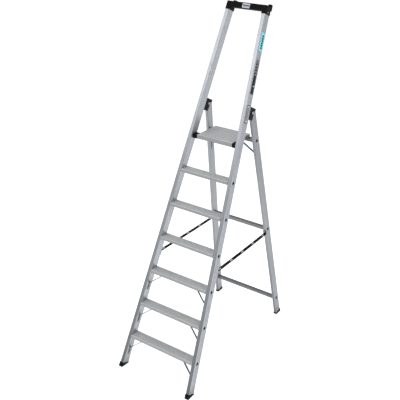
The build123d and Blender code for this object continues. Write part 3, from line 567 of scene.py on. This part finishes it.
def webbingFinish(name, length):
    # two yarns crossing in a plain weave, light dashes woven in at even spaces, a stitched box on each tab
    paint = Paint(name)
    weave = paint.node("ShaderNodeUVMap", {"uv_map": "weave"})
    across = paint.dot(weave, (1, 0, 0))
    along = paint.dot(weave, (0, 1, 0))
    turn = 2 * math.pi / strap["weavePitch"]
    warp = (across * turn).math("SINE")
    weft = (along * turn).math("SINE")
    crossing = warp * weft
    fuzz = paint.noise(paint.joined(across * 900.0, along * 900.0, 0.0), 1.0, 4.0, 0.7)
    step = ((along - 0.055) / strap["dashPitch"]).math("FRACT") * strap["dashPitch"]
    dash = 1 - paint.rise(step, strap["dash"] - 0.0005, strap["dash"])
    dash = dash * (1 - paint.rise(abs(across), 0.0058, 0.0062))
    dash = dash * paint.rise(along, 0.05, 0.0505) * (1 - paint.rise(along, length - 0.0505, length - 0.05))
    fromEnd = (along.math("MINIMUM", length - along)) - strap["tab"] * 0.45
    boxed = abs(fromEnd).math("MAXIMUM", abs(across) * 1.35)
    stitches = ((along + across) * 900.0).math("SINE").math("GREATER_THAN", -0.2)
    seam = (1 - paint.rise(abs(boxed - 0.0102), 0.0004, 0.0007)) * stitches
    yarn = paint.mix(paint.rise(crossing + fuzz, 0.2, 1.3), webbing["yarn"], webbing["highYarn"])
    yarn = paint.mix(dash, yarn, webbing["dash"])
    yarn = paint.mix(seam * 0.9, yarn, webbing["thread"])
    normal = paint.bump(crossing * 0.6 + fuzz * 0.5 + seam * 0.8, 0.0003, 0.8)
    return paint.finish(
        baseColor=yarn, metallic=0.0, roughness=fuzz * 0.2 + (webbing["roughness"] - 0.1), normal=normal,
        sheenWeight=0.04, sheenRoughness=0.5, specularIorLevel=0.12,
    )


def makeStrap(name, side):
    node = "strap_" + name
    low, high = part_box(node)
    corners = strapPath(low, high, side)
    path = roundedPath(corners, strap["bend"], 9, 24)
    between = (path[:, 1] > corners[1][1]) & (path[:, 1] < corners[2][1])
    level = (path[:, 2] > corners[1][2] - 0.001) & between
    share = np.clip((path[:, 1] - corners[1][1]) / (corners[2][1] - corners[1][1]), 0, 1)
    path[:, 2] -= np.where(level, strap["sag"] * 4 * share * (1 - share), 0)
    piece = ribbon("webbing_" + name, path, webbingProfile(36), np.array([1.0, 0, 0]))
    length = float(np.linalg.norm(np.diff(path, axis=0), axis=1).sum())
    piece.data.materials.append(webbingFinish("webbing_" + name, length))
    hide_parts(node)
    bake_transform(piece)
    print("strap", name, "length", round(length, 3))
    return piece


for name, side in sides.items():
    makeStrap(name, side)

# each finish by the start of its nodes' names
# the rear legs and crossbars are the stiles' aluminium in darker tones, which are painted shade, and the
# legs' wider shutIn spreads the painted shade in their hollows
shadedLegLook = {**extrusion, "bright": (0.335, 0.35, 0.372), "dull": (0.28, 0.293, 0.315), "shutIn": 0.07}
shadedBarLook = {**extrusion, "bright": (0.235, 0.24, 0.245), "dull": (0.19, 0.195, 0.20)}
bracketMoulding = {**blackMoulding, "grain": 1300.0, "roughness": 0.4}
finishes = {
    "stile_": extrusionFinish("stile_extrusion", stileAxes, extrusion, 0.18),
    "rear_leg_": extrusionFinish("leg_extrusion", legAxes, shadedLegLook),
    "crossbar_": extrusionFinish("crossbar_extrusion", barAxes, shadedBarLook),
    "step_": treadFinish("tread_extrusion", treadLook),
    "platform_deck": treadFinish("deck_extrusion", treadLook),
    "platform_side_": mouldedFinish("platform_side_moulding", greyMoulding),
    "platform_bearing_": mouldedFinish("bearing_moulding", blackMoulding),
    "top_bow": mouldedFinish("bow_moulding", blackMoulding),
    "front_foot_": mouldedFinish("boot_moulding", bootMoulding, 0.3, 0.6),
    "rear_foot_": mouldedFinish("rear_boot_moulding", bootMoulding, 0.3, 0.6),
    "hinge_bracket_": mouldedFinish("bracket_coating", bracketMoulding),
    "hinge_bush_": mouldedFinish("bush_moulding", greyMoulding),
    "step_end_blocks": mouldedFinish("end_block_moulding", greyMoulding),
    "step_braces_": coatedFinish("brace_coating", coatedLook, stileAxes),
    "rear_brace_": coatedFinish("rear_brace_coating", rearCoatedLook, legAxes),
    "label_round": blueSticker("sticker_blue", "label_round"),
    "label_stripe": stripeSticker("sticker_stripe", "label_stripe"),
    "label_box": boxSticker("sticker_box", "label_box"),
    "bow_label": bowSticker("sticker_bow", "bow_label"),
}
plated = platedFinish("zinc_plate", steelLook)
darkBolt = {"base": (0.05, 0.05, 0.055), "dark": (0.02, 0.02, 0.022), "roughness": 0.45, "metallic": 0.7}
finishes["step_bolts"] = finishes["crossbar_bolts"] = platedFinish("black_oxide", darkBolt)
# the straps' nodes are hidden already, because webbing replaces them
shown = {node: piece for node, piece in frame["nodes"].items() if not piece.hide_render}
for node, piece in shown.items():
    fits = [start for start in finishes if node.startswith(start) and "rivets" not in node]
    chosen = finishes[max(fits, key=len)] if fits else plated
    piece.data.materials.clear()
    piece.data.materials.append(chosen)
print("finishes on", len(shown), "nodes")

# mouldings and castings with rolled edges, as a copy of each node: edge width in metres
softEdges = {
    "top_bow": ("black_plastic", 0.0022),
    "front_foot_": ("black_plastic", 0.0016),
    "rear_foot_": ("black_plastic", 0.0014),
    "platform_bearing_": ("black_plastic", 0.0016),
    "hinge_bracket_": ("bracket_black", 0.0012),
}


def softened(node, width):
    source = frame["nodes"][node]
    merged = bmesh.new()
    merged.from_mesh(source.data)
    bmesh.ops.remove_doubles(merged, verts=merged.verts, dist=1e-6)
    # a flat stretch becomes one polygon, so that only real edges are rolled
    bmesh.ops.dissolve_limit(merged, angle_limit=math.radians(0.5), verts=merged.verts, edges=merged.edges)
    merged.verts.index_update()
    places = [tuple(vertex.co) for vertex in merged.verts]
    faces = [[vertex.index for vertex in face.verts] for face in merged.faces]
    merged.free()
    mesh = bpy.data.meshes.new("soft_" + node)
    mesh.from_pydata(places, [], faces)
    mesh.polygons.foreach_set("use_smooth", np.ones(len(mesh.polygons), bool))
    mesh.materials.append(source.data.materials[0])
    piece = bpy.data.objects.new("soft_" + node, mesh)
    bpy.context.scene.collection.objects.link(piece)
    bevel = piece.modifiers.new("edges", "BEVEL")
    bevel.width = width
    bevel.segments = 2
    bevel.limit_method = "ANGLE"
    bevel.angle_limit = math.radians(32)
    bevel.harden_normals = True
    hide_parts(node)
    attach(piece, source["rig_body"])
    return piece


for node in sorted(frame["nodes"]):
    for start, (slot, width) in softEdges.items():
        if node.startswith(start):
            softened(node, width)
print("rolled edges on the mouldings")

studio = {
    "floorRadius": 40.0,
    "floor": (0.93, 0.935, 0.94),
    "world": (1.0, 1.0, 1.0),
    "worldStrength": 0.36,
    "floorGlow": 0.7,
    "camera": (2.5906, -3.6866, 3.3813),
    "tilt": math.radians(64.242),
    "turn": math.radians(35.617),
    "lens": 62.55,
}
lights = {  # place, aims at, size, watts
    "key": ((-3.0, -4.4, 5.2), (0, 0, 1.9), 2.4, 70.0),
    "top": ((0.3, 0.6, 6.0), (0, 0, 0.5), 3.4, 130.0),
    "right": ((5.0, -0.5, 2.6), (0, 0, 1.0), 3.0, 25.0),
}


def makeFloor():
    # a flat disc: x = r cos(a), y = r sin(a), on rings that widen outwards
    rings, spokes = 12, 64
    radius = studio["floorRadius"] * np.linspace(0, 1, rings) ** 2
    angle = np.linspace(0, 2 * np.pi, spokes, endpoint=False)
    r, a = np.meshgrid(radius[1:], angle, indexing="ij")
    points = np.vstack([[[0, 0, 0]], np.stack([r * np.cos(a), r * np.sin(a), r * 0], -1).reshape(-1, 3)])
    i, j = np.meshgrid(np.arange(rings - 2), np.arange(spokes), indexing="ij")
    k = (j + 1) % spokes
    near, far = 1 + i * spokes, 1 + (i + 1) * spokes
    quads = np.stack([near + j, far + j, far + k, near + k], -1).reshape(-1, 4)
    fans = [[0, 1 + n, 1 + (n + 1) % spokes] for n in range(spokes)]
    mesh = bpy.data.meshes.new("floor")
    mesh.from_pydata(points.tolist(), [], quads.tolist() + fans)
    floor = bpy.data.objects.new("floor", mesh)
    bpy.context.scene.collection.objects.link(floor)
    paint = Paint("floor")
    glow = {"emissionColor": (1, 1, 1, 1), "emissionStrength": studio["floorGlow"]}
    floor.data.materials.append(paint.finish(baseColor=colour(studio["floor"]), roughness=0.9, **glow))


def aim(piece, target):
    direction = np.array(target, float) - np.array(piece.location)
    flat = math.hypot(direction[0], direction[1])
    piece.rotation_euler = (math.atan2(flat, -direction[2]), 0, math.atan2(-direction[0], direction[1]))


makeFloor()
for name, (place, target, size, watts) in lights.items():
    lamp = bpy.data.lights.new(name, "AREA")
    lamp.size = size
    lamp.energy = watts
    holder = bpy.data.objects.new(name, lamp)
    holder.location = place
    aim(holder, target)
    bpy.context.scene.collection.objects.link(holder)

world = bpy.data.worlds.new("studio")
world.use_nodes = True
sky = world.node_tree.nodes["Background"]
sky.inputs["Color"].default_value = (*studio["world"], 1.0)
# the sky lights the ladder at worldStrength, and the camera sees it white
rays = world.node_tree.nodes.new("ShaderNodeLightPath")
brightness = world.node_tree.nodes.new("ShaderNodeMapRange")
brightness.inputs["To Min"].default_value = studio["worldStrength"]
world.node_tree.links.new(rays.outputs["Is Camera Ray"], brightness.inputs["Value"])
world.node_tree.links.new(brightness.outputs["Result"], sky.inputs["Strength"])
bpy.context.scene.world = world
bpy.context.scene.view_settings.view_transform = "Standard"

lens = bpy.data.cameras.new("camera")
lens.lens = studio["lens"]
lens.sensor_width = 36.0
lens.clip_end = 200.0
camera = bpy.data.objects.new("camera", lens)
camera.location = studio["camera"]
camera.rotation_euler = (studio["tilt"], 0, studio["turn"])
bpy.context.scene.collection.objects.link(camera)
bpy.context.scene.camera = camera
print("studio ready")
